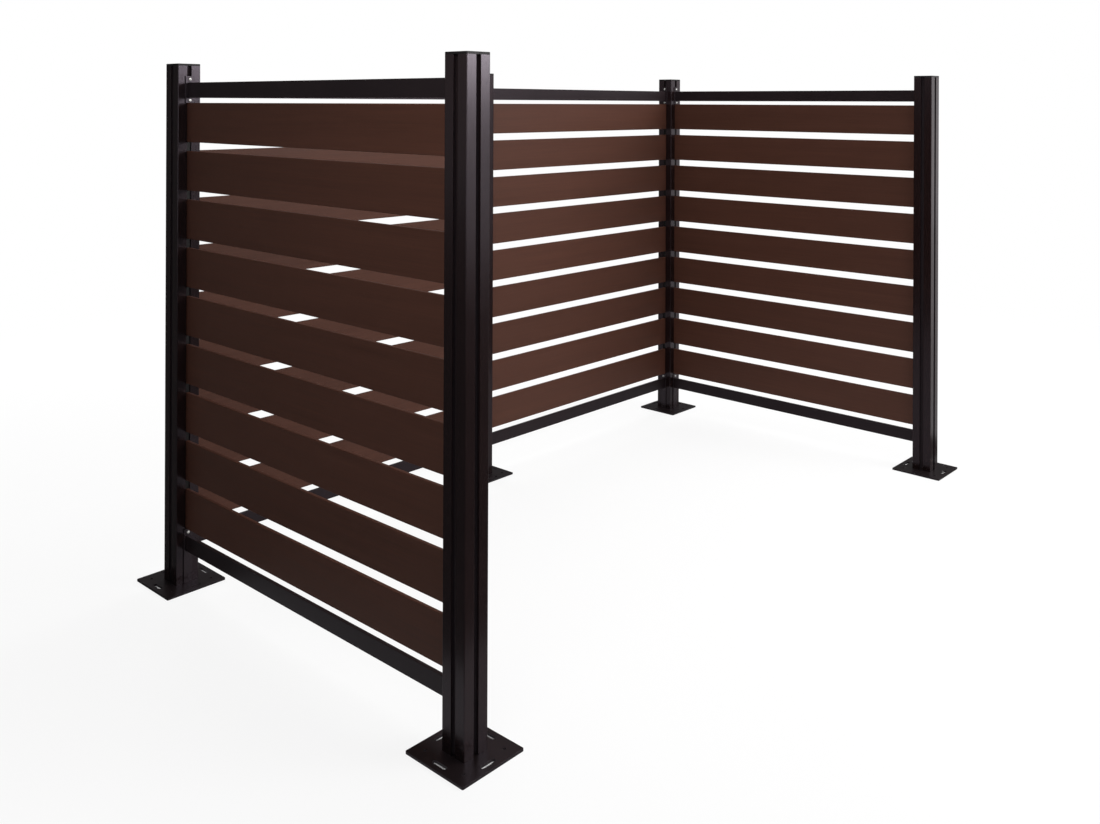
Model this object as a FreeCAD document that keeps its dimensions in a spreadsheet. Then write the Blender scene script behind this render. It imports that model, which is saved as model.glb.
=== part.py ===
import FreeCAD, Part
import math
import os

import Sketcher

# A three-sided screen for wheeled bins. Five grooved posts stand on screw-down base plates in a U that is
# two panels wide and one deep, open at the front. Each panel is nine slats between a top and a bottom rail.
# Slats, rails, spacers and brackets all end in the grooves of the posts.
# Millimetres, +X to the right along the back, +Y to the back, +Z up. The origin is on the ground, in the
# middle of the screen's outline.

# Driving dimensions: alias, value, meaning.
SIZES = (
    ("panel_pitch", 1040, "distance between the axes of neighbouring posts"),
    ("post_size", 60, "side of the square post"),
    ("post_wall", 2.2, "wall of the post's extrusion"),
    ("post_corner_radius", 1.5, "rounding of the post's long edges"),
    ("groove_depth", 8, "depth of the groove in each face of a post"),
    ("groove_play", 1.5, "play between a slat and each side of its groove"),
    ("port_inset", 5.6, "axis of a screw port from the two nearest faces of the post"),
    ("port_wall", 2, "wall around a screw port"),
    ("infill_thickness", 9, "thickness of the slats and of the rails, which share the grooves"),
    ("slat_width", 98, "height of one slat"),
    ("slat_gap", 22.6, "open height between two slats"),
    ("slat_edge_radius", 1.5, "rounding of a slat's long edges"),
    ("slat_end_gap", 1, "room for growth between a slat's end and the floor of the groove"),
    ("rail_height", 38, "height of the top and the bottom rail"),
    ("rail_wall", 1.5, "wall of the rail's tube"),
    ("rail_edge_radius", 0.8, "rounding of a rail's long edges"),
    ("ground_clearance", 84, "underside of the bottom rail above the ground"),
    ("lower_gap", 17.5, "open height between the bottom rail and the lowest slat"),
    ("upper_gap", 12.5, "open height between the highest slat and the top rail"),
    ("head_height", 42.2, "end of the post above the top rail"),
    ("spacer_recess", 3, "face of a spacer behind the face of its post"),
    ("bracket_lip", 5.2, "overlap of a bracket's flange on each side of the groove"),
    ("bracket_flange", 3, "thickness of a bracket's flange, which stands on the post's face"),
    ("bracket_edge_radius", 0.6, "rounding of the long front edges of a bracket's flange"),
    ("bracket_rise", 16, "end of a top bracket above the top rail"),
    ("fit", 0.3, "clearance of spacers, brackets and caps in the post"),
    ("screw_diameter", 4.2, "shank of the self-tapping screws"),
    ("screw_play", 0.2, "clearance between a screw's shank and its hole"),
    ("screw_head_diameter", 8, "head of the screws in the brackets"),
    ("screw_crown_diameter", 4.8, "flat top of that head, inside its bevel"),
    ("screw_head_height", 2.6, "height of that head"),
    ("screw_tip", 4, "end of a bracket's screw beyond the wall that it bites into"),
    ("plate_screw_head", 8.4, "countersunk head of the screws under the base plates"),
    ("plate_screw_length", 30, "length of the screws under the base plates"),
    ("plate_screw_sink", 0.3, "top of the countersunk head above the ground"),
    ("cap_thickness", 5, "thickness of the post's cap"),
    ("cap_edge", 0.8, "chamfer round the top of the cap"),
    ("cap_spigot_depth", 14, "reach of the cap's spigot into the post"),
    ("cap_spigot_wall", 2.5, "wall of the cap's spigot"),
    ("plate_size", 156, "side of the square base plate"),
    ("plate_thickness", 5, "thickness of the base plate"),
    ("plate_corner_radius", 3, "rounding of the base plate's corners"),
    ("anchor_slot_length", 36, "end-to-end length of an anchor slot"),
    ("anchor_slot_width", 9, "width of an anchor slot"),
    ("anchor_slot_inset", 16, "middle of an anchor slot from the edge of the plate"),
    ("pin_hole_diameter", 6.5, "hole for a ground pin near each corner of the plate"),
    ("pin_hole_inset", 26, "middle of a pin hole from the two nearest edges of the plate"),
)
SLAT_COUNT = 9

# Sizes that follow from the driving ones, as formulas.
HALF_POST = "(Sizes.post_size / 2)"
GROOVE_HALF = "(Sizes.infill_thickness / 2 + Sizes.groove_play)"
GROOVE_FLOOR = f"({HALF_POST} - Sizes.groove_depth)"
GROOVE_MOUTH = f"({HALF_POST} + Sizes.groove_depth)"
CORE_HALF = f"({GROOVE_FLOOR} - Sizes.post_wall)"
CELL_NEAR = f"({GROOVE_HALF} + Sizes.post_wall)"
CELL_FAR = f"({HALF_POST} - Sizes.post_wall)"
PORT_CENTRE = f"({HALF_POST} - Sizes.port_inset)"
SCREW_RADIUS = "(Sizes.screw_diameter / 2)"
SCREW_HOLE = f"({SCREW_RADIUS} + Sizes.screw_play)"
SCREW_SEAT = f"({HALF_POST} + Sizes.bracket_flange)"
HALF_PLATE = "(Sizes.plate_size / 2)"
SLOT_CENTRE = f"({HALF_PLATE} - Sizes.anchor_slot_inset)"
PIN_CENTRE = f"({HALF_PLATE} - Sizes.pin_hole_inset)"
SLAT_LENGTH = "(Sizes.panel_pitch - Sizes.post_size + 2 * (Sizes.groove_depth - Sizes.slat_end_gap))"
SLAT_PITCH = "(Sizes.slat_width + Sizes.slat_gap)"

# Heights above the ground, as formulas.
SLATS_BOTTOM = "(Sizes.ground_clearance + Sizes.rail_height + Sizes.lower_gap)"
SLATS_TOP = f"({SLATS_BOTTOM} + {SLAT_COUNT - 1} * {SLAT_PITCH} + Sizes.slat_width)"
TOP_RAIL = f"({SLATS_TOP} + Sizes.upper_gap)"
TOP_RAIL_TOP = f"({TOP_RAIL} + Sizes.rail_height)"
POST_TOP = f"({TOP_RAIL_TOP} + Sizes.head_height)"
FOOT_SCREW = f"({SLATS_BOTTOM} - Sizes.lower_gap / 2)"
RAIL_LOWER_SCREW = f"({TOP_RAIL} - Sizes.upper_gap / 2)"
RAIL_UPPER_SCREW = f"({TOP_RAIL_TOP} + Sizes.bracket_rise / 2)"
BRACKET_SCREWS = (FOOT_SCREW, RAIL_LOWER_SCREW, RAIL_UPPER_SCREW)

# Directions in plan, in degrees from +X: the faces of a post that a panel joins.
RIGHT, BACK, LEFT, FRONT = 0, 90, 180, 270

# Posts: x and y of the axis, and the faces that hold panels.
POSTS = {
    "front_left": ("-Sizes.panel_pitch", "-Sizes.panel_pitch / 2", (BACK,)),
    "rear_left": ("-Sizes.panel_pitch", "Sizes.panel_pitch / 2", (FRONT, RIGHT)),
    "rear_middle": ("0", "Sizes.panel_pitch / 2", (LEFT, RIGHT)),
    "rear_right": ("Sizes.panel_pitch", "Sizes.panel_pitch / 2", (LEFT, FRONT)),
    "front_right": ("Sizes.panel_pitch", "-Sizes.panel_pitch / 2", (BACK,)),
}

# Panels: x and y of the middle, and the direction in which the slats run.
PANELS = {
    "left": ("-Sizes.panel_pitch", "0", BACK),
    "back_left": ("-Sizes.panel_pitch / 2", "Sizes.panel_pitch / 2", RIGHT),
    "back_right": ("Sizes.panel_pitch / 2", "Sizes.panel_pitch / 2", RIGHT),
    "right": ("Sizes.panel_pitch", "0", BACK),
}

doc = FreeCAD.newDocument("bin_screen")
sizes = doc.addObject("Spreadsheet::Sheet", "Sizes")
for row, (alias, number, meaning) in enumerate(SIZES, start=1):
    sizes.set(f"A{row}", meaning)
    sizes.set(f"B{row}", str(number))
    sizes.setAlias(f"B{row}", alias)
doc.recompute()


def value(formula):
    """Present value of a formula of the sheet's sizes."""
    return float(sizes.evalExpression(formula))


# Sketches

def add_sketch(body, name, plane_role):
    sketch = body.newObject("Sketcher::SketchObject", name)
    plane = next(plane for plane in body.Origin.OriginFeatures if plane.Role == plane_role)
    sketch.AttachmentSupport = [(plane, "")]
    sketch.MapMode = "FlatFace"
    return sketch


def hold_point(sketch, geometry, end, place):
    """Hold one point of a sketch at a place given as a pair of formulas."""
    axes = (("DistanceX", -2), ("DistanceY", -1))
    for formula, (kind, zero_axis) in zip(place, axes):
        if formula == "0":
            sketch.addConstraint(Sketcher.Constraint("PointOnObject", geometry, end, zero_axis))
            continue
        number = sketch.addConstraint(Sketcher.Constraint(kind, -1, 1, geometry, end, value(formula)))
        sketch.setExpression(f"Constraints[{number}]", formula)


def add_outline(sketch, corners):
    """Closed outline of straight lines through corners given as pairs of formulas."""
    points = [FreeCAD.Vector(value(x), value(y), 0) for x, y in corners]
    lines = []
    for start, end in zip(points, points[1:] + points[:1]):
        lines.append(sketch.addGeometry(Part.LineSegment(start, end), False))
    for line, following in zip(lines, lines[1:] + lines[:1]):
        sketch.addConstraint(Sketcher.Constraint("Coincident", line, 2, following, 1))
    for line, corner in zip(lines, corners):
        hold_point(sketch, line, 1, corner)


def add_rectangle(sketch, left, right, bottom, top):
    add_outline(sketch, ((left, bottom), (right, bottom), (right, top), (left, top)))


def add_square(sketch, half):
    add_rectangle(sketch, f"-{half}", half, f"-{half}", half)


def add_circle(sketch, centre, radius):
    middle = FreeCAD.Vector(value(centre[0]), value(centre[1]), 0)
    upright = FreeCAD.Vector(0, 0, 1)
    circle = sketch.addGeometry(Part.Circle(middle, upright, value(radius)), False)
    hold_point(sketch, circle, 3, centre)
    number = sketch.addConstraint(Sketcher.Constraint("Radius", circle, value(radius)))
    sketch.setExpression(f"Constraints[{number}]", radius)


def add_slot(sketch, x, half_run, radius):
    """Slot along the sketch's second axis. Its middle is at x, its round ends at +half_run and -half_run."""
    upright = FreeCAD.Vector(0, 0, 1)
    arcs = []
    for centre_y, start_angle in ((half_run, 0), (f"-{half_run}", math.pi)):
        middle = FreeCAD.Vector(value(x), value(centre_y), 0)
        circle = Part.Circle(middle, upright, value(radius))
        arc = sketch.addGeometry(Part.ArcOfCircle(circle, start_angle, start_angle + math.pi), False)
        hold_point(sketch, arc, 3, (x, centre_y))
        arcs.append(arc)
    upper, lower = arcs
    for start_arc, end_arc in ((upper, lower), (lower, upper)):
        start = sketch.getPoint(start_arc, 2)
        end = sketch.getPoint(end_arc, 1)
        side = sketch.addGeometry(Part.LineSegment(start, end), False)
        sketch.addConstraint(Sketcher.Constraint("Tangent", start_arc, 2, side, 1))
        sketch.addConstraint(Sketcher.Constraint("Tangent", side, 2, end_arc, 1))
    number = sketch.addConstraint(Sketcher.Constraint("Radius", upper, value(radius)))
    sketch.setExpression(f"Constraints[{number}]", radius)


# Features

def pad(body, name, sketch, length, symmetric=False, reversed_way=False):
    feature = body.newObject("PartDesign::Pad", name)
    feature.Profile = sketch
    feature.setExpression("Length", length)
    feature.SideType = "Symmetric" if symmetric else "One side"
    feature.Reversed = reversed_way
    doc.recompute()
    return feature


def pocket(body, name, sketch, length=None, reversed_way=True):
    """Cut a sketch through everything on one side of its plane, or as deep as the length says."""
    before = body.Shape.Volume
    feature = body.newObject("PartDesign::Pocket", name)
    feature.Profile = sketch
    feature.Reversed = reversed_way
    if length is None:
        feature.Type = "ThroughAll"
    else:
        feature.Type = "Length"
        feature.setExpression("Length", length)
    doc.recompute()
    if body.Shape.Volume >= before:
        raise RuntimeError(f"{body.Label}: {name} cuts nothing")
    return feature


def revolve(body, name, sketch, axis):
    feature = body.newObject("PartDesign::Revolution", name)
    feature.Profile = sketch
    feature.ReferenceAxis = (sketch, [axis])
    feature.Angle = 360
    doc.recompute()
    return feature


def four_times(body, name, feature):
    """Repeat a feature on all four sides, round the body's upright axis."""
    pattern = body.newObject("PartDesign::PolarPattern", name)
    pattern.Originals = [feature]
    axis = next(axis for axis in body.Origin.OriginFeatures if axis.Role == "Z_Axis")
    pattern.Axis = (axis, [""])
    pattern.Angle = 360
    pattern.Occurrences = 4
    body.Tip = pattern
    doc.recompute()
    return pattern


def edges_where(feature, wanted):
    return [f"Edge{number}" for number, edge in enumerate(feature.Shape.Edges, start=1) if wanted(edge)]


def is_along(edge, direction):
    start, end = edge.Vertexes[0].Point, edge.Vertexes[-1].Point
    run = end - start
    return isinstance(edge.Curve, Part.Line) and abs(run.dot(direction)) > 0.999 * run.Length


def fillet(body, name, base, edges, radius):
    feature = body.newObject("PartDesign::Fillet", name)
    feature.Base = (base, edges)
    feature.setExpression("Radius", radius)
    doc.recompute()
    return feature


def chamfer(body, name, base, edges, size):
    feature = body.newObject("PartDesign::Chamfer", name)
    feature.Base = (base, edges)
    feature.setExpression("Size", size)
    doc.recompute()
    return feature


UPRIGHT = FreeCAD.Vector(0, 0, 1)
LENGTHWISE = FreeCAD.Vector(1, 0, 0)


def new_body(label):
    body = doc.addObject("PartDesign::Body", label)
    body.Label = label
    return body


# Pieces. A post, plate or cap stands about its own upright axis. A spacer, bracket or bracket screw is
# drawn on the +X face of a post whose axis is the origin's.

def make_post(label, panel_faces):
    """Extruded post with four grooves, four screw ports and pilot holes in the grooves that hold panels."""
    length = f"({POST_TOP} - Sizes.plate_thickness)"
    body = new_body(label)
    outline = add_sketch(body, "outline", "XY_Plane")
    add_square(outline, HALF_POST)
    blank = pad(body, "blank", outline, length)
    long_edges = edges_where(blank, lambda edge: is_along(edge, UPRIGHT))
    fillet(body, "rounded_edges", blank, long_edges, "Sizes.post_corner_radius")

    groove = add_sketch(body, "groove", "XY_Plane")
    add_rectangle(groove, GROOVE_FLOOR, GROOVE_MOUTH, f"-{GROOVE_HALF}", GROOVE_HALF)
    four_times(body, "grooves", pocket(body, "groove_cut", groove))

    core = add_sketch(body, "core", "XY_Plane")
    add_square(core, CORE_HALF)
    pocket(body, "core_cut", core)
    cell = add_sketch(body, "corner_cell", "XY_Plane")
    add_rectangle(cell, CELL_NEAR, CELL_FAR, CELL_NEAR, CELL_FAR)
    four_times(body, "corner_cells", pocket(body, "cell_cut", cell))

    port = add_sketch(body, "port_wall", "XY_Plane")
    add_circle(port, (PORT_CENTRE, PORT_CENTRE), f"({SCREW_HOLE} + Sizes.port_wall)")
    four_times(body, "port_walls", pad(body, "port_pad", port, length))
    bore = add_sketch(body, "port_bore", "XY_Plane")
    add_circle(bore, (PORT_CENTRE, PORT_CENTRE), SCREW_HOLE)
    four_times(body, "port_bores", pocket(body, "bore_cut", bore))

    for face in panel_faces:
        plane = "YZ_Plane" if face in (LEFT, RIGHT) else "XZ_Plane"
        holes = add_sketch(body, f"pilot_holes_{face}", plane)
        for height in BRACKET_SCREWS:
            add_circle(holes, ("0", f"({height} - Sizes.plate_thickness)"), SCREW_HOLE)
        pocket(body, f"pilot_cut_{face}", holes, HALF_POST, reversed_way=face in (RIGHT, FRONT))
    return body


def make_base_plate(label):
    """Square plate with an anchor slot along each side, a pin hole in each corner and countersunk holes."""
    body = new_body(label)
    outline = add_sketch(body, "outline", "XY_Plane")
    add_square(outline, HALF_PLATE)
    blank = pad(body, "blank", outline, "Sizes.plate_thickness")
    corners = edges_where(blank, lambda edge: is_along(edge, UPRIGHT))
    fillet(body, "rounded_corners", blank, corners, "Sizes.plate_corner_radius")

    slot = add_sketch(body, "anchor_slot", "XY_Plane")
    half_run = "((Sizes.anchor_slot_length - Sizes.anchor_slot_width) / 2)"
    add_slot(slot, SLOT_CENTRE, half_run, "(Sizes.anchor_slot_width / 2)")
    four_times(body, "anchor_slots", pocket(body, "slot_cut", slot))
    pin_hole = add_sketch(body, "pin_hole", "XY_Plane")
    add_circle(pin_hole, (PIN_CENTRE, PIN_CENTRE), "(Sizes.pin_hole_diameter / 2)")
    four_times(body, "pin_holes", pocket(body, "pin_cut", pin_hole))
    screw_hole = add_sketch(body, "screw_hole", "XY_Plane")
    add_circle(screw_hole, (PORT_CENTRE, PORT_CENTRE), SCREW_HOLE)
    drilled = four_times(body, "screw_holes", pocket(body, "screw_cut", screw_hole))

    hole_radius = value(SCREW_HOLE)
    hole_distance = value(PORT_CENTRE) * math.sqrt(2)

    def is_screw_mouth(edge):
        if not isinstance(edge.Curve, Part.Circle) or abs(edge.BoundBox.ZMax) > 1e-6:
            return False
        distance = math.hypot(edge.Curve.Center.x, edge.Curve.Center.y)
        return abs(edge.Curve.Radius - hole_radius) < 1e-6 and abs(distance - hole_distance) < 1e-3

    mouths = edges_where(drilled, is_screw_mouth)
    depth = f"(Sizes.plate_screw_sink + Sizes.plate_screw_head / 2 - {SCREW_RADIUS})"
    chamfer(body, "countersinks", drilled, mouths, depth)
    return body


def make_cap(label):
    """Flat cap, flush with the post's faces, with a square spigot between the floors of the grooves."""
    body = new_body(label)
    outline = add_sketch(body, "outline", "XY_Plane")
    add_square(outline, HALF_POST)
    blank = pad(body, "blank", outline, "Sizes.cap_thickness")
    corners = edges_where(blank, lambda edge: is_along(edge, UPRIGHT))
    rounded = fillet(body, "rounded_corners", blank, corners, "Sizes.post_corner_radius")
    thickness = value("Sizes.cap_thickness")
    rim = edges_where(rounded, lambda edge: abs(edge.BoundBox.ZMin - thickness) < 1e-6)
    chamfer(body, "rim", rounded, rim, "Sizes.cap_edge")
    spigot = add_sketch(body, "spigot", "XY_Plane")
    add_square(spigot, f"({CORE_HALF} - Sizes.fit)")
    add_square(spigot, f"({CORE_HALF} - Sizes.fit - Sizes.cap_spigot_wall)")
    pad(body, "spigot_ring", spigot, "Sizes.cap_spigot_depth", reversed_way=True)
    return body


def make_slat(label):
    """Solid board with rounded long edges, standing on its lower edge."""
    body = new_body(label)
    section = add_sketch(body, "section", "YZ_Plane")
    half = "(Sizes.infill_thickness / 2)"
    add_rectangle(section, f"-{half}", half, "0", "Sizes.slat_width")
    board = pad(body, "board", section, SLAT_LENGTH, symmetric=True)
    long_edges = edges_where(board, lambda edge: is_along(edge, LENGTHWISE))
    fillet(body, "rounded_edges", board, long_edges, "Sizes.slat_edge_radius")
    return body


def make_rail(label):
    """Flat rectangular tube, standing on its lower edge."""
    body = new_body(label)
    half = "(Sizes.infill_thickness / 2)"
    section = add_sketch(body, "section", "YZ_Plane")
    add_rectangle(section, f"-{half}", half, "0", "Sizes.rail_height")
    bar = pad(body, "bar", section, SLAT_LENGTH, symmetric=True)
    long_edges = edges_where(bar, lambda edge: is_along(edge, LENGTHWISE))
    fillet(body, "rounded_edges", bar, long_edges, "Sizes.rail_edge_radius")
    bore = add_sketch(body, "bore", "YZ_Plane")
    inner = f"({half} - Sizes.rail_wall)"
    add_rectangle(bore, f"-{inner}", inner, "Sizes.rail_wall", "(Sizes.rail_height - Sizes.rail_wall)")
    hollow = pocket(body, "bore_cut", bore)
    hollow.SideType = "Symmetric"
    doc.recompute()
    return body


def make_spacer(label):
    """Block that fills the groove between two slats."""
    body = new_body(label)
    section = add_sketch(body, "section", "XY_Plane")
    half = f"({GROOVE_HALF} - Sizes.fit)"
    near = f"({GROOVE_FLOOR} + Sizes.fit)"
    far = f"({HALF_POST} - Sizes.spacer_recess)"
    add_rectangle(section, near, far, f"-{half}", half)
    pad(body, "block", section, "Sizes.slat_gap")
    return body


def make_bracket(label, below, above, screw_heights):
    """Tee-shaped holder in the groove, with a window that the rail's end passes through.

    below and above are its heights under and over the rail, and screw_heights the heights of its screws.
    """
    body = new_body(label)
    section = add_sketch(body, "section", "XY_Plane")
    stem = f"({GROOVE_HALF} - Sizes.fit)"
    lip = f"({GROOVE_HALF} + Sizes.bracket_lip)"
    near = f"({GROOVE_FLOOR} + Sizes.fit)"
    add_outline(section, ((near, f"-{stem}"), (HALF_POST, f"-{stem}"), (HALF_POST, f"-{lip}"),
                          (SCREW_SEAT, f"-{lip}"), (SCREW_SEAT, lip), (HALF_POST, lip),
                          (HALF_POST, stem), (near, stem)))
    strip = pad(body, "strip", section, f"({below} + Sizes.rail_height + {above})")
    seat = value(SCREW_SEAT)
    front_edges = edges_where(
        strip, lambda edge: is_along(edge, UPRIGHT) and abs(edge.Vertexes[0].X - seat) < 1e-6)
    fillet(body, "rounded_edges", strip, front_edges, "Sizes.bracket_edge_radius")
    window = add_sketch(body, "window", "YZ_Plane")
    half = "(Sizes.infill_thickness / 2 + Sizes.fit)"
    add_rectangle(window, f"-{half}", half, below, f"({below} + Sizes.rail_height + Sizes.fit)")
    pocket(body, "window_cut", window)
    holes = add_sketch(body, "screw_holes", "YZ_Plane")
    for height in screw_heights:
        add_circle(holes, ("0", height), SCREW_HOLE)
    pocket(body, "screw_cut", holes)
    return body


def make_bracket_screw(label):
    """Screw with a bevelled flat head on the bracket's flange, its shank through the floor of the groove."""
    body = new_body(label)
    section = add_sketch(body, "section", "XY_Plane")
    head = "(Sizes.screw_head_diameter / 2)"
    tip = f"({CORE_HALF} - Sizes.screw_tip)"
    shoulder = f"({SCREW_SEAT} + Sizes.screw_head_height / 2)"
    crown = f"({SCREW_SEAT} + Sizes.screw_head_height)"
    add_outline(section, ((tip, "0"), (crown, "0"), (crown, "Sizes.screw_crown_diameter / 2"),
                          (shoulder, head), (SCREW_SEAT, head), (SCREW_SEAT, SCREW_RADIUS),
                          (tip, SCREW_RADIUS)))
    revolve(body, "turned", section, "H_Axis")
    return body


def make_plate_screw(label):
    """Countersunk screw that holds a base plate to a port of the post, head down."""
    body = new_body(label)
    section = add_sketch(body, "section", "XZ_Plane")
    head = "(Sizes.plate_screw_head / 2)"
    neck = f"(Sizes.plate_screw_sink + {head} - {SCREW_RADIUS})"
    end = "(Sizes.plate_screw_sink + Sizes.plate_screw_length)"
    add_outline(section, (("0", "Sizes.plate_screw_sink"), (head, "Sizes.plate_screw_sink"),
                          (SCREW_RADIUS, neck), (SCREW_RADIUS, end), ("0", end)))
    revolve(body, "turned", section, "V_Axis")
    return body


# Assembly

def place(piece, x, y, z, turn=0):
    """Turn a piece about the upright and move it to a place given as formulas."""
    piece.Placement = FreeCAD.Placement(FreeCAD.Vector(), FreeCAD.Rotation(UPRIGHT, turn))
    for axis, formula in zip("xyz", (x, y, z)):
        piece.setExpression(f"Placement.Base.{axis}", formula)
    return piece


def copy_of(pattern, label, x, y, z, turn=0):
    link = doc.addObject("App::Link", label)
    link.Label = label
    link.LinkedObject = pattern
    return place(link, x, y, z, turn)


def group(label, pieces):
    compound = doc.addObject("Part::Compound", label)
    compound.Label = label
    compound.Links = pieces
    return compound


panel_ends = [(x, y, face) for x, y, faces in POSTS.values() for face in faces]
nodes = []

plate_pattern = make_base_plate("base_plate_pattern")
for name, (x, y, faces) in POSTS.items():
    nodes.append(place(make_post(f"post_{name}", faces), x, y, "Sizes.plate_thickness"))
    nodes.append(copy_of(plate_pattern, f"base_plate_{name}", x, y, "0"))

slat_pattern = make_slat("slat_pattern")
rail_pattern = make_rail("rail_pattern")
for name, (x, y, run) in PANELS.items():
    nodes.append(copy_of(rail_pattern, f"bottom_rail_{name}", x, y, "Sizes.ground_clearance", run))
    for count in range(SLAT_COUNT):
        height = f"{SLATS_BOTTOM} + {count} * {SLAT_PITCH}"
        nodes.append(copy_of(slat_pattern, f"slat_{name}_{count + 1}", x, y, height, run))
    nodes.append(copy_of(rail_pattern, f"top_rail_{name}", x, y, TOP_RAIL, run))

cap_pattern = make_cap("cap_pattern")
caps = [copy_of(cap_pattern, f"cap_{name}", x, y, POST_TOP) for name, (x, y, faces) in POSTS.items()]
nodes.append(group("post_caps", caps))

top_bracket_pattern = make_bracket(
    "top_bracket_pattern", "Sizes.upper_gap", "Sizes.bracket_rise",
    [f"({height} - {SLATS_TOP})" for height in (RAIL_LOWER_SCREW, RAIL_UPPER_SCREW)])
bottom_bracket_pattern = make_bracket(
    "bottom_bracket_pattern", "(Sizes.ground_clearance - Sizes.plate_thickness)", "Sizes.lower_gap",
    [f"({FOOT_SCREW} - Sizes.plate_thickness)"])
spacer_pattern = make_spacer("spacer_pattern")
bracket_screw_pattern = make_bracket_screw("bracket_screw_pattern")
top_brackets, bottom_brackets, spacers, bracket_screws = [], [], [], []
for number, (x, y, face) in enumerate(panel_ends, start=1):
    top_brackets.append(copy_of(top_bracket_pattern, f"top_bracket_{number}", x, y, SLATS_TOP, face))
    bottom_brackets.append(
        copy_of(bottom_bracket_pattern, f"bottom_bracket_{number}", x, y, "Sizes.plate_thickness", face))
    for count in range(1, SLAT_COUNT):
        height = f"{SLATS_BOTTOM} + {count} * {SLAT_PITCH} - Sizes.slat_gap"
        spacers.append(copy_of(spacer_pattern, f"spacer_{number}_{count}", x, y, height, face))
    for count, height in enumerate(BRACKET_SCREWS, start=1):
        bracket_screws.append(
            copy_of(bracket_screw_pattern, f"bracket_screw_{number}_{count}", x, y, height, face))
nodes.append(group("top_brackets", top_brackets))
nodes.append(group("bottom_brackets", bottom_brackets))
nodes.append(group("slat_spacers", spacers))
nodes.append(group("bracket_screws", bracket_screws))

plate_screw_pattern = make_plate_screw("plate_screw_pattern")
plate_screws = []
for name, (x, y, faces) in POSTS.items():
    for number, (sign_x, sign_y) in enumerate((("+", "+"), ("-", "+"), ("-", "-"), ("+", "-")), start=1):
        plate_screws.append(copy_of(plate_screw_pattern, f"plate_screw_{name}_{number}",
                                    f"{x} {sign_x} {PORT_CENTRE}", f"{y} {sign_y} {PORT_CENTRE}", "0"))
nodes.append(group("plate_screws", plate_screws))

doc.recompute()
for item in doc.Objects:
    if "Invalid" in item.State or "Error" in item.State:
        raise RuntimeError(f"{item.Label} failed: {item.State}")

os.makedirs("parts", exist_ok=True)
for node in nodes:
    shape = Part.getShape(node)
    if shape.isNull() or not shape.isValid() or not shape.Solids:
        raise RuntimeError(f"{node.Label} has no valid solid")
for node in nodes:
    Part.getShape(node).exportStep(f"parts/{node.Label}.step")
print(len(nodes), "nodes")
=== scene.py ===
import math

import bmesh
import bpy
from mathutils import Matrix, Vector


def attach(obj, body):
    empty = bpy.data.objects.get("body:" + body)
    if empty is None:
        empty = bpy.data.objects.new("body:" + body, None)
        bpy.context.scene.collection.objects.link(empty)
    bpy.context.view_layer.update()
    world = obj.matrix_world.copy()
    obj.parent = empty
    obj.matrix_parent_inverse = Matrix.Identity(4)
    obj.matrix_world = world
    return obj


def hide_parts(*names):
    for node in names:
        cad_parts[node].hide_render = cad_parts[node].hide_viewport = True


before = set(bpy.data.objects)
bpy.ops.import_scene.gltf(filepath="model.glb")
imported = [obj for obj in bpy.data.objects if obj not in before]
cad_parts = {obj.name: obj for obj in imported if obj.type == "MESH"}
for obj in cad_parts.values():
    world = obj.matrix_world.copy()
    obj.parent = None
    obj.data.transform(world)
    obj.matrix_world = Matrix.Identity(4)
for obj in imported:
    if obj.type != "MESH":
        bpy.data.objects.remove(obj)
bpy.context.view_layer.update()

# A three-sided bin screen in a white studio, seen from the photograph's place. Metres, +Z up.

IMAGE_WIDTH = 1100
IMAGE_HEIGHT = 824

# Camera, fitted to the posts, slats and plates of the photograph. It stands level, and the frame is
# shifted down. Names that end in PX are in pixels of the image, angles are in radians.
FOCAL_LENGTH_PX = 1059.7
CENTRE_X_PX = 546.8
HORIZON_Y_PX = 102.8
CAMERA_PLACE = (-2.3933, -1.9551, 1.2060)
CAMERA_YAW = 0.8309
CAMERA_ROLL = 0.0041
SENSOR_WIDTH = 36.0
CLIP_END = 200.0

# Sizes repeated from the CAD model.
PANEL_PITCH = 1.040
BRACKET_FACE = 0.033
BRACKET_SCREW_HEIGHTS = (0.13075, 1.20855, 1.2608)
PLATE_SCREW_OFFSET = 0.0244
PLATE_SCREW_HEAD_HEIGHT = 0.0003
POSTS = {"front_left": (-PANEL_PITCH, -PANEL_PITCH / 2), "rear_left": (-PANEL_PITCH, PANEL_PITCH / 2),
         "rear_middle": (0.0, PANEL_PITCH / 2), "rear_right": (PANEL_PITCH, PANEL_PITCH / 2),
         "front_right": (PANEL_PITCH, -PANEL_PITCH / 2)}

# Sides of the posts that hold a panel, as the turn in degrees from +X.
RIGHT, BACK, LEFT, FRONT = 0, 90, 180, 270
PANEL_FACES = {"front_left": (BACK,), "rear_left": (FRONT, RIGHT), "rear_middle": (LEFT, RIGHT),
               "rear_right": (LEFT, FRONT), "front_right": (BACK,)}


# Node helpers

# Most of a noise lies between these values.
NOISE_LOW = 0.3
NOISE_MIDDLE = 0.5
NOISE_HIGH = 0.7

# Places of the colour sockets of a Mix node, whose names aren't unique.
MIX_COLOUR_A = 6
MIX_COLOUR_B = 7
MIX_COLOUR_RESULT = 2

# An edge is where the softened normal leaves the true one: cosine between them where the lighter edge
# starts and where it is full. The lighter edge is partly wear and partly a painted highlight, and grows
# from its least share to all between two values of the noise.
BEVEL_SAMPLES = 4
EDGE_STARTS = 0.99
EDGE_FULL = 0.80
WEAR_AND_HIGHLIGHT_STARTS = 0.40
WEAR_AND_HIGHLIGHT_FULL = 0.62
LEAST_WEAR_AND_HIGHLIGHT = 0.15

# A recess is where less of the surroundings is open, within a distance.
RECESS_SAMPLES = 8
RECESS_DISTANCE = 0.012
RECESS_STARTS = 0.95
RECESS_FULL = 0.60


def opaque(colour):
    return (*colour, 1.0)


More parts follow.
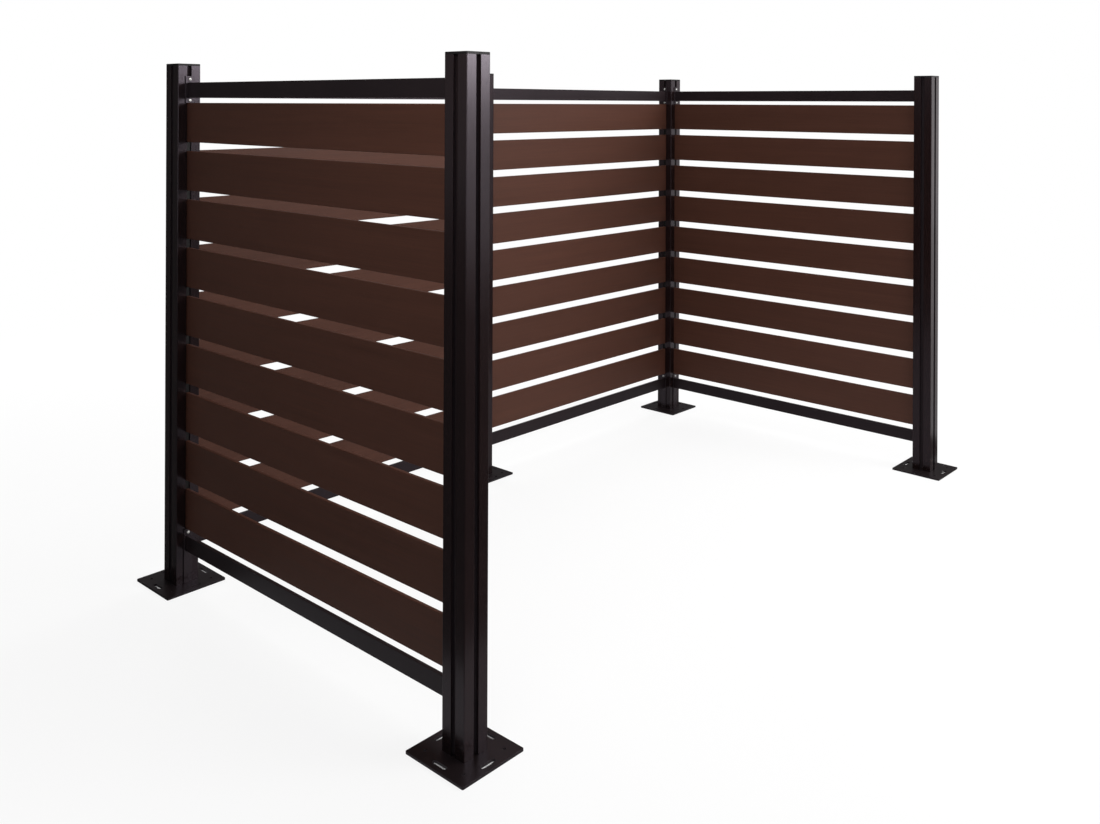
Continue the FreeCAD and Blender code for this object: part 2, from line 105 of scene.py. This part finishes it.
def calculate(nodes, links, operation, first, second):
    """Result of a Math node on two values."""
    node = nodes.new("ShaderNodeMath")
    node.operation = operation
    links.new(first, node.inputs[0])
    links.new(second, node.inputs[1])
    return node.outputs["Value"]


class Surface:
    """A material with a Principled shader and helpers for the textures that drive it."""

    def __init__(self, name, roughness, specular=0.5, metallic=0.0, tint=(1.0, 1.0, 1.0)):
        self.material = bpy.data.materials.new(name)
        self.material.use_nodes = True
        self.nodes = self.material.node_tree.nodes
        self.links = self.material.node_tree.links
        self.shader = self.nodes["Principled BSDF"]
        self.shader.inputs["Roughness"].default_value = roughness
        self.shader.inputs["Specular IOR Level"].default_value = specular
        self.shader.inputs["Specular Tint"].default_value = opaque(tint)
        self.shader.inputs["Metallic"].default_value = metallic
        coordinates = self.nodes.new("ShaderNodeTexCoord")
        self.place = coordinates.outputs["Object"]
        self.soft_normal = None

    def link(self, source, target):
        self.links.new(source, target)

    def shifted_per_object(self, reach):
        """Move the coordinates by another amount on each object, so that no two pieces match."""
        info = self.nodes.new("ShaderNodeObjectInfo")
        shift = self.nodes.new("ShaderNodeVectorMath")
        shift.operation = "MULTIPLY_ADD"
        self.link(info.outputs["Random"], shift.inputs[0])
        shift.inputs[1].default_value = (reach, reach, reach)
        self.link(self.place, shift.inputs[2])
        self.place = shift.outputs["Vector"]
        return info.outputs["Random"]

    def noise(self, scale, detail=3.0, roughness=0.55):
        """Noise with its own scale along each axis, in features per metre."""
        mapping = self.nodes.new("ShaderNodeMapping")
        mapping.inputs["Scale"].default_value = scale
        self.link(self.place, mapping.inputs["Vector"])
        texture = self.nodes.new("ShaderNodeTexNoise")
        texture.inputs["Scale"].default_value = 1.0
        texture.inputs["Detail"].default_value = detail
        texture.inputs["Roughness"].default_value = roughness
        self.link(mapping.outputs["Vector"], texture.inputs["Vector"])
        return texture.outputs["Fac"]

    def blend(self, first, second, share):
        """Weighted sum of two values that vary over the surface."""
        mix = self.nodes.new("ShaderNodeMix")
        mix.inputs["Factor"].default_value = share
        self.link(first, mix.inputs["A"])
        self.link(second, mix.inputs["B"])
        return mix.outputs["Result"]

    def remap(self, value, from_low, from_high, low, high):
        """Value carried from one range to another."""
        span = self.nodes.new("ShaderNodeMapRange")
        span.inputs["From Min"].default_value = from_low
        span.inputs["From Max"].default_value = from_high
        span.inputs["To Min"].default_value = low
        span.inputs["To Max"].default_value = high
        self.link(value, span.inputs["Value"])
        return span.outputs["Result"]

    def colours(self, value, stops):
        """Base colour from a ramp, whose stops are positions and colours."""
        ramp = self.nodes.new("ShaderNodeValToRGB")
        elements = ramp.color_ramp.elements
        while len(elements) < len(stops):
            elements.new(NOISE_MIDDLE)
        for element, (position, colour) in zip(elements, stops):
            element.position = position
            element.color = opaque(colour)
        self.link(value, ramp.inputs["Fac"])
        self.link(ramp.outputs["Color"], self.shader.inputs["Base Color"])
        return ramp.outputs["Color"]

    def worn_and_highlit_edges(self, colour, radius, worn_and_highlit, patches):
        """Soften the sharp edges and lighten their colour in patches: partly wear, partly a painted
        highlight.
        """
        bevel = self.nodes.new("ShaderNodeBevel")
        bevel.samples = BEVEL_SAMPLES
        bevel.inputs["Radius"].default_value = radius
        self.soft_normal = bevel.outputs["Normal"]
        geometry = self.nodes.new("ShaderNodeNewGeometry")
        agreement = self.nodes.new("ShaderNodeVectorMath")
        agreement.operation = "DOT_PRODUCT"
        self.link(self.soft_normal, agreement.inputs[0])
        self.link(geometry.outputs["Normal"], agreement.inputs[1])
        edge = self.remap(agreement.outputs["Value"], EDGE_STARTS, EDGE_FULL, 0.0, 1.0)
        wear_and_highlight = self.remap(patches, WEAR_AND_HIGHLIGHT_STARTS, WEAR_AND_HIGHLIGHT_FULL, LEAST_WEAR_AND_HIGHLIGHT, 1.0)
        # Painted highlight and wear: the edges' base colour is mixed towards a lighter colour.
        mix = self.nodes.new("ShaderNodeMix")
        mix.data_type = "RGBA"
        self.link(calculate(self.nodes, self.links, "MULTIPLY", edge, wear_and_highlight), mix.inputs["Factor"])
        self.link(colour, mix.inputs[MIX_COLOUR_A])
        mix.inputs[MIX_COLOUR_B].default_value = opaque(worn_and_highlit)
        self.link(mix.outputs[MIX_COLOUR_RESULT], self.shader.inputs["Base Color"])

    def roughness(self, value, low, high, rough_recess=0.0):
        """Uneven roughness, raised by up to rough_recess in the piece's own grooves."""
        uneven = self.remap(value, NOISE_LOW, NOISE_HIGH, low, high)
        if rough_recess:
            recess = self.nodes.new("ShaderNodeAmbientOcclusion")
            recess.only_local = True
            recess.samples = RECESS_SAMPLES
            recess.inputs["Distance"].default_value = RECESS_DISTANCE
            extra = self.remap(recess.outputs["AO"], RECESS_STARTS, RECESS_FULL, 0.0, rough_recess)
            uneven = calculate(self.nodes, self.links, "ADD", uneven, extra)
        self.link(uneven, self.shader.inputs["Roughness"])

    def bumps(self, value, depth):
        """Bumps of a depth in metres, on top of the softened edges where there are any."""
        bump = self.nodes.new("ShaderNodeBump")
        bump.inputs["Distance"].default_value = depth
        bump.inputs["Strength"].default_value = 1.0
        self.link(value, bump.inputs["Height"])
        if self.soft_normal:
            self.link(self.soft_normal, bump.inputs["Normal"])
        self.link(bump.outputs["Normal"], self.shader.inputs["Normal"])


def brighter(colour, factor):
    return [channel * factor for channel in colour]


def shades(colour, spread):
    """Darker, plain and lighter version of a colour, as the stops of a ramp."""
    return [(NOISE_LOW, brighter(colour, 1 - spread)),
            (NOISE_MIDDLE, colour),
            (NOISE_HIGH, brighter(colour, 1 + spread))]


# Materials. Scales are in features per metre, depths and radii in metres.

COAT_TINT = (0.98, 0.85, 1.0)
COAT_CLOUDS = (7.0, 7.0, 5.0)
COAT_STREAKS = (420.0, 420.0, 2.5)
COAT_WEAR_AND_HIGHLIGHT_PATCHES = (38.0, 38.0, 22.0)
COAT_PIMPLE_SHARE = 0.35
COAT_STREAK_SHARE = 0.5
COAT_SPREAD = 0.22
COAT_EDGE_RADIUS = 0.0006
# Edges are lighter by this gain: partly wear, partly a painted highlight.
COAT_EDGE_WEAR_AND_HIGHLIGHT_GAIN = 2.4
COAT_SMOOTHER = 0.03
COAT_ROUGHER = 0.04


def powder_coat(name, colour, roughness, pimple, depth, specular, rough_recess=0.0):
    """Baked powder coat: fine pimples, faint clouds in colour and gloss, streaks along Z, edges lightened
    by wear and a painted highlight.
    """
    coat = Surface(name, roughness, specular, tint=COAT_TINT)
    clouds = coat.noise(COAT_CLOUDS, detail=4.0)
    streaks = coat.noise(COAT_STREAKS, detail=2.0)
    pimples = coat.noise((1 / pimple,) * 3, detail=2.0)
    patches = coat.noise(COAT_WEAR_AND_HIGHLIGHT_PATCHES, detail=5.0)
    base = coat.colours(coat.blend(clouds, pimples, COAT_PIMPLE_SHARE), shades(colour, COAT_SPREAD))
    # Edges lighter in patches: wear and a painted highlight.
    coat.worn_and_highlit_edges(base, COAT_EDGE_RADIUS, brighter(colour, COAT_EDGE_WEAR_AND_HIGHLIGHT_GAIN), patches)
    coat.roughness(coat.blend(clouds, streaks, COAT_STREAK_SHARE), roughness - COAT_SMOOTHER,
                   roughness + COAT_ROUGHER, rough_recess)
    coat.bumps(pimples, depth)
    return coat.material


BOARD_ROUGHNESS = 0.48
BOARD_SMOOTHEST = 0.42
BOARD_ROUGHEST = 0.56
BOARD_SPECULAR = 0.22
BOARD_SHIFT = 7.0
GRAIN_ACROSS = 650.0
GRAIN_ALONG = 5.0
GRAIN_SHARE = 0.70
GRAIN_DEPTH = 0.00006
FIGURE_ACROSS = 45.0
FIGURE_ALONG = 0.9
FIGURE_ROUGHNESS_SHARE = 0.4
SLAT_TONE_SHARE = 0.12
BOARD_SPREAD = 0.22


def stretched(across, along, run):
    """Noise scale with its own value along one axis."""
    scale = [across, across, across]
    scale[run] = along
    return scale


def board(name, run, colour):
    """Brown composite board with a fine grain along its length. run is the axis, 0 or 1, of the length."""
    face = Surface(name, BOARD_ROUGHNESS, BOARD_SPECULAR)
    slat_tone = face.shifted_per_object(BOARD_SHIFT)
    grain = face.noise(stretched(GRAIN_ACROSS, GRAIN_ALONG, run), detail=4.0)
    figure = face.noise(stretched(FIGURE_ACROSS, FIGURE_ALONG, run), detail=3.0)
    tone = face.blend(face.blend(figure, grain, GRAIN_SHARE), slat_tone, SLAT_TONE_SHARE)
    face.colours(tone, shades(colour, BOARD_SPREAD))
    face.roughness(face.blend(grain, figure, FIGURE_ROUGHNESS_SHARE), BOARD_SMOOTHEST, BOARD_ROUGHEST)
    face.bumps(grain, GRAIN_DEPTH)
    return face.material


SPARK_SCALE = (2200.0,) * 3
SPARK_DEPTH = 0.00002
PLASTIC_CLOUDS = (18.0,) * 3
PLASTIC_SPREAD = 0.2
PLASTIC_EDGE_RADIUS = 0.0005
# Edges are lighter by this gain: partly wear, partly a painted highlight.
PLASTIC_EDGE_WEAR_AND_HIGHLIGHT_GAIN = 1.8
PLASTIC_UNEVEN = 0.06


def moulded(name, colour, roughness, specular):
    """Moulded plastic with a fine spark-eroded texture and softened edges, lightened by wear and a painted
    highlight.
    """
    plastic = Surface(name, roughness, specular)
    spark = plastic.noise(SPARK_SCALE, detail=2.0)
    clouds = plastic.noise(PLASTIC_CLOUDS, detail=3.0)
    base = plastic.colours(clouds, shades(colour, PLASTIC_SPREAD))
    # Edges lighter in patches: wear and a painted highlight.
    plastic.worn_and_highlit_edges(base, PLASTIC_EDGE_RADIUS, brighter(colour, PLASTIC_EDGE_WEAR_AND_HIGHLIGHT_GAIN), clouds)
    plastic.roughness(clouds, roughness - PLASTIC_UNEVEN, roughness + PLASTIC_UNEVEN)
    plastic.bumps(spark, SPARK_DEPTH)
    return plastic.material


TOOL_MARKS = (3500.0,) * 3
TOOL_MARK_DEPTH = 0.000006
SHEEN_PATCHES = (260.0,) * 3
STEEL_SPREAD = 0.12
STEEL_SMOOTHER = 0.06
STEEL_ROUGHER = 0.10


def plated(name, colour, roughness):
    """Zinc-plated steel with faint tool marks and a patchy sheen."""
    steel = Surface(name, roughness, metallic=1.0)
    marks = steel.noise(TOOL_MARKS, detail=3.0)
    patches = steel.noise(SHEEN_PATCHES, detail=3.0)
    steel.colours(patches, shades(colour, STEEL_SPREAD))
    steel.roughness(patches, roughness - STEEL_SMOOTHER, roughness + STEEL_ROUGHER)
    steel.bumps(marks, TOOL_MARK_DEPTH)
    return steel.material


BRONZE_BLACK = (0.0085, 0.0040, 0.0037)
PLATE_BLACK = (0.0085, 0.0055, 0.0057)
RAIL_BLACK = (0.0125, 0.0080, 0.0085)
BOARD_BROWN = (0.066, 0.0250, 0.0158)
SPACER_BLACK = (0.0095, 0.0080, 0.0080)
CAP_BLACK = (0.009, 0.0075, 0.0080)
ZINC = (0.78, 0.77, 0.74)

post_coat = powder_coat("post_coat", BRONZE_BLACK, roughness=0.20, pimple=0.0009, depth=0.00002,
                        specular=0.5, rough_recess=0.5)
plate_coat = powder_coat("plate_coat", PLATE_BLACK, roughness=0.36, pimple=0.0012, depth=0.00003,
                         specular=0.42)
rail_coat = powder_coat("rail_coat", RAIL_BLACK, roughness=0.36, pimple=0.0010, depth=0.00002,
                        specular=0.3)
bracket_coat = powder_coat("bracket_coat", RAIL_BLACK, roughness=0.26, pimple=0.0010, depth=0.00002,
                           specular=0.5)
board_across = board("slat_board_back", run=0, colour=BOARD_BROWN)
board_deep = board("slat_board_side", run=1, colour=BOARD_BROWN)
spacer_plastic = moulded("spacer_plastic", SPACER_BLACK, roughness=0.42, specular=0.2)
cap_plastic = moulded("cap_plastic", CAP_BLACK, roughness=0.48, specular=0.3)
screw_steel = plated("screw_steel", ZINC, roughness=0.36)

# Material by the start of a node's name. The first that fits counts.
FINISHES = (
    ("slat_spacers", spacer_plastic),
    ("slat_back_", board_across),
    ("slat_", board_deep),
    ("post_caps", cap_plastic),
    ("post_", post_coat),
    ("base_plate_", plate_coat),
    ("bottom_rail_", rail_coat),
    ("top_rail_", rail_coat),
    ("top_brackets", bracket_coat),
    ("bottom_brackets", bracket_coat),
    ("bracket_screws", screw_steel),
    ("plate_screws", screw_steel),
)


def finish_of(node_name):
    """Material of a CAD node."""
    for start, material in FINISHES:
        if node_name.startswith(start):
            return material
    raise ValueError(f"no finish for {node_name}")


for name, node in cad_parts.items():
    for material_slot in node.material_slots:
        material_slot.material = finish_of(name)


def add_object(name, data):
    """New object in the scene."""
    new = bpy.data.objects.new(name, data)
    bpy.context.scene.collection.objects.link(new)
    return new


# Screws. A screw is drawn in millimetres, with the top of its head at the origin and its shank along -Z.

MM_PER_METRE = 1000
SCREW_SIDES = 24
SHARP_ANGLE = math.radians(38)
TURN_FROM_SCREW_TO_SCREW = 2.4

# Outlines of the two heads from the crown's edge down to the shank, as radius and height.
PAN_HEAD = ((2.2, 0.0), (2.9, -0.15), (3.5, -0.55), (3.85, -1.1), (4.0, -1.8), (4.0, -2.45), (3.9, -2.6),
            (2.1, -2.6))
SUNK_HEAD = ((2.8, 0.0), (3.95, 0.0), (4.15, -0.12), (4.1, -0.3), (2.1, -2.25))
PAN_SHANK_LENGTH = 17.0
SUNK_SHANK_LENGTH = 27.5
CROSS_ARM = 1.75
CROSS_HALF_WIDTH = 0.45
CROSS_DEPTH = 1.5
CROSS_FOOT_SHARE = 0.55
CROSS_WIDTH_TAPER = 0.6
THREAD_PITCH = 1.4
THREAD_CREST = 2.1
THREAD_ROOT = 1.55
THREAD_ROOT_DROP = 0.6 * THREAD_PITCH
TIP_LENGTH = 3.0
TIP_RADIUS = 0.25


def cross_outline(share):
    """Corners of the cross recess with its arms shrunk to a share of their length, and narrowed less."""
    arm = CROSS_ARM * share
    half = CROSS_HALF_WIDTH * (1 - CROSS_WIDTH_TAPER + CROSS_WIDTH_TAPER * share)
    quarter = ((arm, -half), (arm, half), (half, half))
    corners = []
    for turn in range(4):
        for x, y in quarter:
            for _ in range(turn):
                x, y = -y, x
            corners.append((x, y))
    return corners


def shank_outline(start, length):
    """Threaded shank from a height down by a length, as radius and height."""
    points = []
    height = start
    end = start - length
    while height - THREAD_PITCH > end + TIP_LENGTH:
        points.append((THREAD_ROOT, height - THREAD_ROOT_DROP))
        height -= THREAD_PITCH
        points.append((THREAD_CREST, height))
    points.append((THREAD_ROOT, height - THREAD_ROOT_DROP))
    points.append((TIP_RADIUS, end))
    return points


def add_screw(mesh, head, shank_length, matrix):
    """Add one screw with a cross recess to a bmesh."""
    def vertex(x, y, z):
        return mesh.verts.new(matrix @ (Vector((x, y, z)) / MM_PER_METRE))

    rings = []
    for radius, height in list(head) + shank_outline(head[-1][1], shank_length):
        ring = []
        for step in range(SCREW_SIDES):
            angle = 2 * math.pi * step / SCREW_SIDES
            ring.append(vertex(radius * math.cos(angle), radius * math.sin(angle), height))
        rings.append(ring)
    for upper, lower in zip(rings, rings[1:]):
        for step in range(SCREW_SIDES):
            following = (step + 1) % SCREW_SIDES
            mesh.faces.new((upper[step], lower[step], lower[following], upper[following]))
    mesh.faces.new(reversed(rings[-1]))
    mouth = [vertex(x, y, 0.0) for x, y in cross_outline(1.0)]
    foot = [vertex(x, y, -CROSS_DEPTH) for x, y in cross_outline(CROSS_FOOT_SHARE)]
    crown_edges = []
    for loop in (rings[0], mouth):
        for start, end in zip(loop, loop[1:] + loop[:1]):
            crown_edges.append(mesh.edges.get((start, end)) or mesh.edges.new((start, end)))
    bmesh.ops.triangle_fill(mesh, use_beauty=True, edges=crown_edges)
    for number, corner in enumerate(mouth):
        following = (number + 1) % len(mouth)
        mesh.faces.new((corner, foot[number], foot[following], mouth[following]))
    mesh.faces.new(foot)


def screw_group(name, node, head, shank_length, places):
    """One object for all the screws of a kind, which stands for their CAD node."""
    mesh = bmesh.new()
    for matrix in places:
        add_screw(mesh, head, shank_length, matrix)
    bmesh.ops.recalc_face_normals(mesh, faces=mesh.faces)
    data = bpy.data.meshes.new(name)
    mesh.to_mesh(data)
    mesh.free()
    data.materials.append(screw_steel)
    piece = add_object(name, data)
    data.shade_smooth()
    data.set_sharp_from_angle(angle=SHARP_ANGLE)
    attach(piece, "root")
    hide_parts(node)


def turned_cross(number):
    """Turn of a screw about its own axis, another one for each."""
    return Matrix.Rotation(TURN_FROM_SCREW_TO_SCREW * number, 4, "Z")


def bracket_screw_places():
    """Places of the pan heads, on the brackets' flanges."""
    head_height = -PAN_HEAD[-1][1] / MM_PER_METRE
    head = Matrix.Translation((BRACKET_FACE + head_height, 0, 0)) @ Matrix.Rotation(math.pi / 2, 4, "Y")
    places = []
    for post, faces in PANEL_FACES.items():
        x, y = POSTS[post]
        for face in faces:
            outward = Matrix.Rotation(math.radians(face), 4, "Z")
            for height in BRACKET_SCREW_HEIGHTS:
                place = Matrix.Translation((x, y, height)) @ outward @ head
                places.append(place @ turned_cross(len(places)))
    return places


def plate_screw_places():
    """Places of the countersunk heads, which point down in the base plates."""
    head = Matrix.Rotation(math.pi, 4, "X")
    places = []
    for x, y in POSTS.values():
        for offset_x in (-PLATE_SCREW_OFFSET, PLATE_SCREW_OFFSET):
            for offset_y in (-PLATE_SCREW_OFFSET, PLATE_SCREW_OFFSET):
                place = Matrix.Translation((x + offset_x, y + offset_y, PLATE_SCREW_HEAD_HEIGHT)) @ head
                places.append(place @ turned_cross(len(places)))
    return places


screw_group("pan_head_screws", "bracket_screws", PAN_HEAD, PAN_SHANK_LENGTH, bracket_screw_places())
screw_group("sunk_head_screws", "plate_screws", SUNK_HEAD, SUNK_SHANK_LENGTH, plate_screw_places())


# Lamps

FULL_SPREAD = 180
GRID_SPREAD = 75


def area_light(name, place, target, width, height, radiance, in_reflections=True, spread=FULL_SPREAD):
    """Soft box that shines from place towards target. Its brightness doesn't change with its size.
    A spread below 180 degrees stands for a grid in front of it."""
    data = bpy.data.lights.new(name, "AREA")
    data.shape = "RECTANGLE"
    data.size = width
    data.size_y = height
    data.energy = radiance * math.pi * width * height
    data.spread = math.radians(spread)
    lamp = add_object(name, data)
    lamp.location = place
    lamp.rotation_euler = (Vector(target) - Vector(place)).to_track_quat("-Z", "Y").to_euler()
    lamp.visible_glossy = in_reflections
    lamp.visible_camera = False


area_light("key", place=(1.95, -3.65, 2.10), target=(0.0, 0.0, 1.3), width=1.5, height=1.4,
           radiance=9.6)
area_light("front_fill", place=(2.0, -3.6, 2.35), target=(0.0, 0.0, 1.3), width=3.2, height=1.4,
           radiance=8.8, in_reflections=False)
area_light("left_fill", place=(-2.4, -1.1, 2.1), target=(-1.04, -0.6, 1.4), width=0.9, height=0.9,
           radiance=1.75, in_reflections=False, spread=GRID_SPREAD)
area_light("middle_fill", place=(-0.7, -3.2, 1.8), target=(1.0, 0.2, 0.8), width=1.0, height=0.9,
           radiance=5.7, in_reflections=False)
area_light("back_fill", place=(0.4, 4.6, 2.0), target=(0.0, 0.5, 0.8), width=2.4, height=1.25,
           radiance=12.0, in_reflections=False)
area_light("right_fill", place=(4.5, 1.2, 2.0), target=(1.0, 0.0, 0.8), width=1.5, height=1.25,
           radiance=18.0, in_reflections=False)
area_light("top", place=(0.0, 0.4, 4.2), target=(0.0, 0.0, 0.5), width=3.5, height=3.0,
           radiance=2.8)


# White surroundings

WHITE = (1.0, 1.0, 1.0)
BLACK = (0.0, 0.0, 0.0)
WORLD_WHITE = 1.0
AMBIENT = 0.11
FLOOR_HALF = 40.0
FLOOR_DEPTH = -0.0005
PAPER_WHITE = (0.86, 0.86, 0.86)
PAPER_ROUGHNESS = 0.9

# Share of the floor's glow near the object, and the distances between which it grows to all.
GLOW_NEAR = 0.86
GLOW_GROWS_FROM = 1.4
GLOW_FULL_FROM = 4.0

# The floor under the base plates lies a little higher, and ends inside the plates' outlines.
PATCH_HALF = 0.075
PATCH_DEPTH = -0.0003


def seen_directly(nodes, links, otherwise, seen):
    """A value for camera, glossy and transmission rays, and another for all other rays."""
    path = nodes.new("ShaderNodeLightPath")
    first = calculate(nodes, links, "MAXIMUM", path.outputs["Is Camera Ray"], path.outputs["Is Glossy Ray"])
    either = calculate(nodes, links, "MAXIMUM", first, path.outputs["Is Transmission Ray"])
    choice = nodes.new("ShaderNodeMapRange")
    choice.inputs["To Min"].default_value = otherwise
    choice.inputs["To Max"].default_value = seen
    links.new(either, choice.inputs["Value"])
    return choice.outputs["Result"]


def make_world():
    """White to the camera and in reflections, and an even soft light on everything else."""
    world = bpy.data.worlds.new("studio")
    bpy.context.scene.world = world
    world.use_nodes = True
    nodes = world.node_tree.nodes
    links = world.node_tree.links
    background = nodes["Background"]
    background.inputs["Color"].default_value = opaque(WHITE)
    strength = seen_directly(nodes, links, otherwise=AMBIENT, seen=WORLD_WHITE)
    links.new(strength, background.inputs["Strength"])


def square(x, y, half, height):
    """Corners of a level square about a point."""
    return [(x - half, y - half, height), (x + half, y - half, height),
            (x + half, y + half, height), (x - half, y + half, height)]


def paper_material(name):
    """Matt white paper."""
    material = bpy.data.materials.new(name)
    material.use_nodes = True
    paper = material.node_tree.nodes["Principled BSDF"]
    paper.inputs["Base Color"].default_value = opaque(PAPER_WHITE)
    paper.inputs["Roughness"].default_value = PAPER_ROUGHNESS
    paper.inputs["Specular IOR Level"].default_value = 0.0
    return material


def make_floor():
    """Pale floor that shows a faint shadow near the object and runs out into the white background."""
    mesh = bpy.data.meshes.new("floor")
    mesh.from_pydata(square(0.0, 0.0, FLOOR_HALF, 0.0), [], [range(4)])
    floor = add_object("floor", mesh)
    floor.location.z = FLOOR_DEPTH
    material = paper_material("floor_paper")
    nodes = material.node_tree.nodes
    links = material.node_tree.links
    coordinates = nodes.new("ShaderNodeTexCoord")
    distance = nodes.new("ShaderNodeVectorMath")
    distance.operation = "LENGTH"
    links.new(coordinates.outputs["Object"], distance.inputs[0])
    fade = nodes.new("ShaderNodeMapRange")
    fade.interpolation_type = "SMOOTHSTEP"
    fade.inputs["From Min"].default_value = GLOW_GROWS_FROM
    fade.inputs["From Max"].default_value = GLOW_FULL_FROM
    fade.inputs["To Min"].default_value = GLOW_NEAR
    fade.inputs["To Max"].default_value = 1.0
    links.new(distance.outputs["Value"], fade.inputs["Value"])
    seen = seen_directly(nodes, links, otherwise=0.0, seen=1.0)
    glow = nodes.new("ShaderNodeEmission")
    share = nodes.new("ShaderNodeMixShader")
    links.new(calculate(nodes, links, "MULTIPLY", seen, fade.outputs["Result"]), share.inputs["Fac"])
    links.new(nodes["Principled BSDF"].outputs["BSDF"], share.inputs[1])
    links.new(glow.outputs["Emission"], share.inputs[2])
    links.new(share.outputs["Shader"], nodes["Material Output"].inputs["Surface"])
    mesh.materials.append(material)


def make_floor_under_plates():
    """The same paper without its glow, where only the slots and holes of the base plates let light in."""
    mesh = bpy.data.meshes.new("floor_under_plates")
    corners = []
    for x, y in POSTS.values():
        corners += square(x, y, PATCH_HALF, PATCH_DEPTH)
    mesh.from_pydata(corners, [], [range(start, start + 4) for start in range(0, len(corners), 4)])
    patches = add_object("floor_under_plates", mesh)
    mesh.materials.append(paper_material("floor_under_plates"))


make_world()
make_floor()
make_floor_under_plates()


# Glowing sheets round the white paper that only reflections show: painted reflections of a studio, dim but
# for the bright one behind the camera, and the dark ones paint shade into the reflections. Name, brightness
# and corners. The floor's sheets lie a little above each other.

REACH = 8.0
HEIGHT = 7.0
SHEET_LIFT = 0.0004

# Outlines of the floor's sheets. The dark ones in front and on the left pass close to the posts' feet,
# where they paint dark reflections.
FRONT_FLOOR = ((-1.6, -REACH), (3.2, -REACH), (3.2, -1.6), (1.45, -0.75), (1.3, -0.62), (1.0, -0.58),
               (0.9, -0.85), (-1.6, -0.85))
LEFT_FLOOR = ((-REACH, -REACH), (-1.3, -REACH), (-1.3, -0.3), (-1.2, 0.35), (-1.1, 0.45), (-1.05, 0.66),
              (-1.05, REACH), (-REACH, REACH))
RIGHT_FLOOR = ((1.4, -REACH), (REACH, -REACH), (REACH, 0.3), (1.4, 0.3))


def on_floor(level, outline):
    return [(x, y, level * SHEET_LIFT) for x, y in outline]


def upright(start, end):
    """Corners of a wall between two points of the floor."""
    return [(*start, 0.0), (*end, 0.0), (*end, HEIGHT), (*start, HEIGHT)]


REFLECTION_SHEETS = (
    ("floor", 0.34, square(0.0, 0.0, REACH, SHEET_LIFT)),
    ("right_floor", 0.66, on_floor(2, RIGHT_FLOOR)),
    # Dark sheets that paint shade into the reflections in front of and beside the posts' feet.
    ("front_floor", 0.06, on_floor(3, FRONT_FLOOR)),
    ("left_floor", 0.06, on_floor(4, LEFT_FLOOR)),
    ("left_wall", 0.30, upright((-REACH, -REACH), (-REACH, REACH))),
    ("back_left_wall", 0.07, upright((-REACH, REACH), (-1.0, REACH))),
    ("back_right_wall", 0.12, upright((-1.0, REACH), (REACH, REACH))),
    ("right_wall", 0.12, upright((REACH, -1.0), (REACH, REACH))),
    ("front_wall", 0.06, upright((-REACH, -REACH), (4.0, -REACH))),
    # A painted reflection of a bright wall behind the camera, which puts highlights on rounded edges and
    # screw heads.
    ("camera_wall", 2.5, upright((-REACH, -4.0), (-4.0, -REACH))),
    ("ceiling", 0.12, square(0.0, 0.0, REACH, HEIGHT)),
)


def make_reflection_sheet(name, brightness, corners):
    """Evenly glowing sheet that only reflections show: a painted reflection."""
    mesh = bpy.data.meshes.new(name)
    mesh.from_pydata(corners, [], [range(len(corners))])
    sheet = add_object(name, mesh)
    sheet.visible_camera = False
    sheet.visible_diffuse = False
    sheet.visible_transmission = False
    sheet.visible_shadow = False
    material = bpy.data.materials.new(name)
    material.use_nodes = True
    shader = material.node_tree.nodes["Principled BSDF"]
    shader.inputs["Base Color"].default_value = opaque(BLACK)
    shader.inputs["Specular IOR Level"].default_value = 0.0
    shader.inputs["Emission Color"].default_value = opaque(WHITE)
    shader.inputs["Emission Strength"].default_value = brightness
    mesh.materials.append(material)


for name, brightness, corners in REFLECTION_SHEETS:
    make_reflection_sheet(f"studio_{name}", brightness, corners)


# Camera

camera_data = bpy.data.cameras.new("camera")
camera_data.sensor_fit = "HORIZONTAL"
camera_data.sensor_width = SENSOR_WIDTH
camera_data.lens = FOCAL_LENGTH_PX * SENSOR_WIDTH / IMAGE_WIDTH
camera_data.shift_x = (IMAGE_WIDTH / 2 - CENTRE_X_PX) / IMAGE_WIDTH
camera_data.shift_y = (HORIZON_Y_PX - IMAGE_HEIGHT / 2) / IMAGE_WIDTH
camera_data.clip_end = CLIP_END
camera = add_object("camera", camera_data)
camera.matrix_world = (Matrix.Translation(CAMERA_PLACE) @ Matrix.Rotation(-CAMERA_YAW, 4, "Z")
                       @ Matrix.Rotation(math.pi / 2, 4, "X") @ Matrix.Rotation(CAMERA_ROLL, 4, "Z"))
bpy.context.scene.camera = camera

bpy.context.scene.view_settings.view_transform = "Standard"
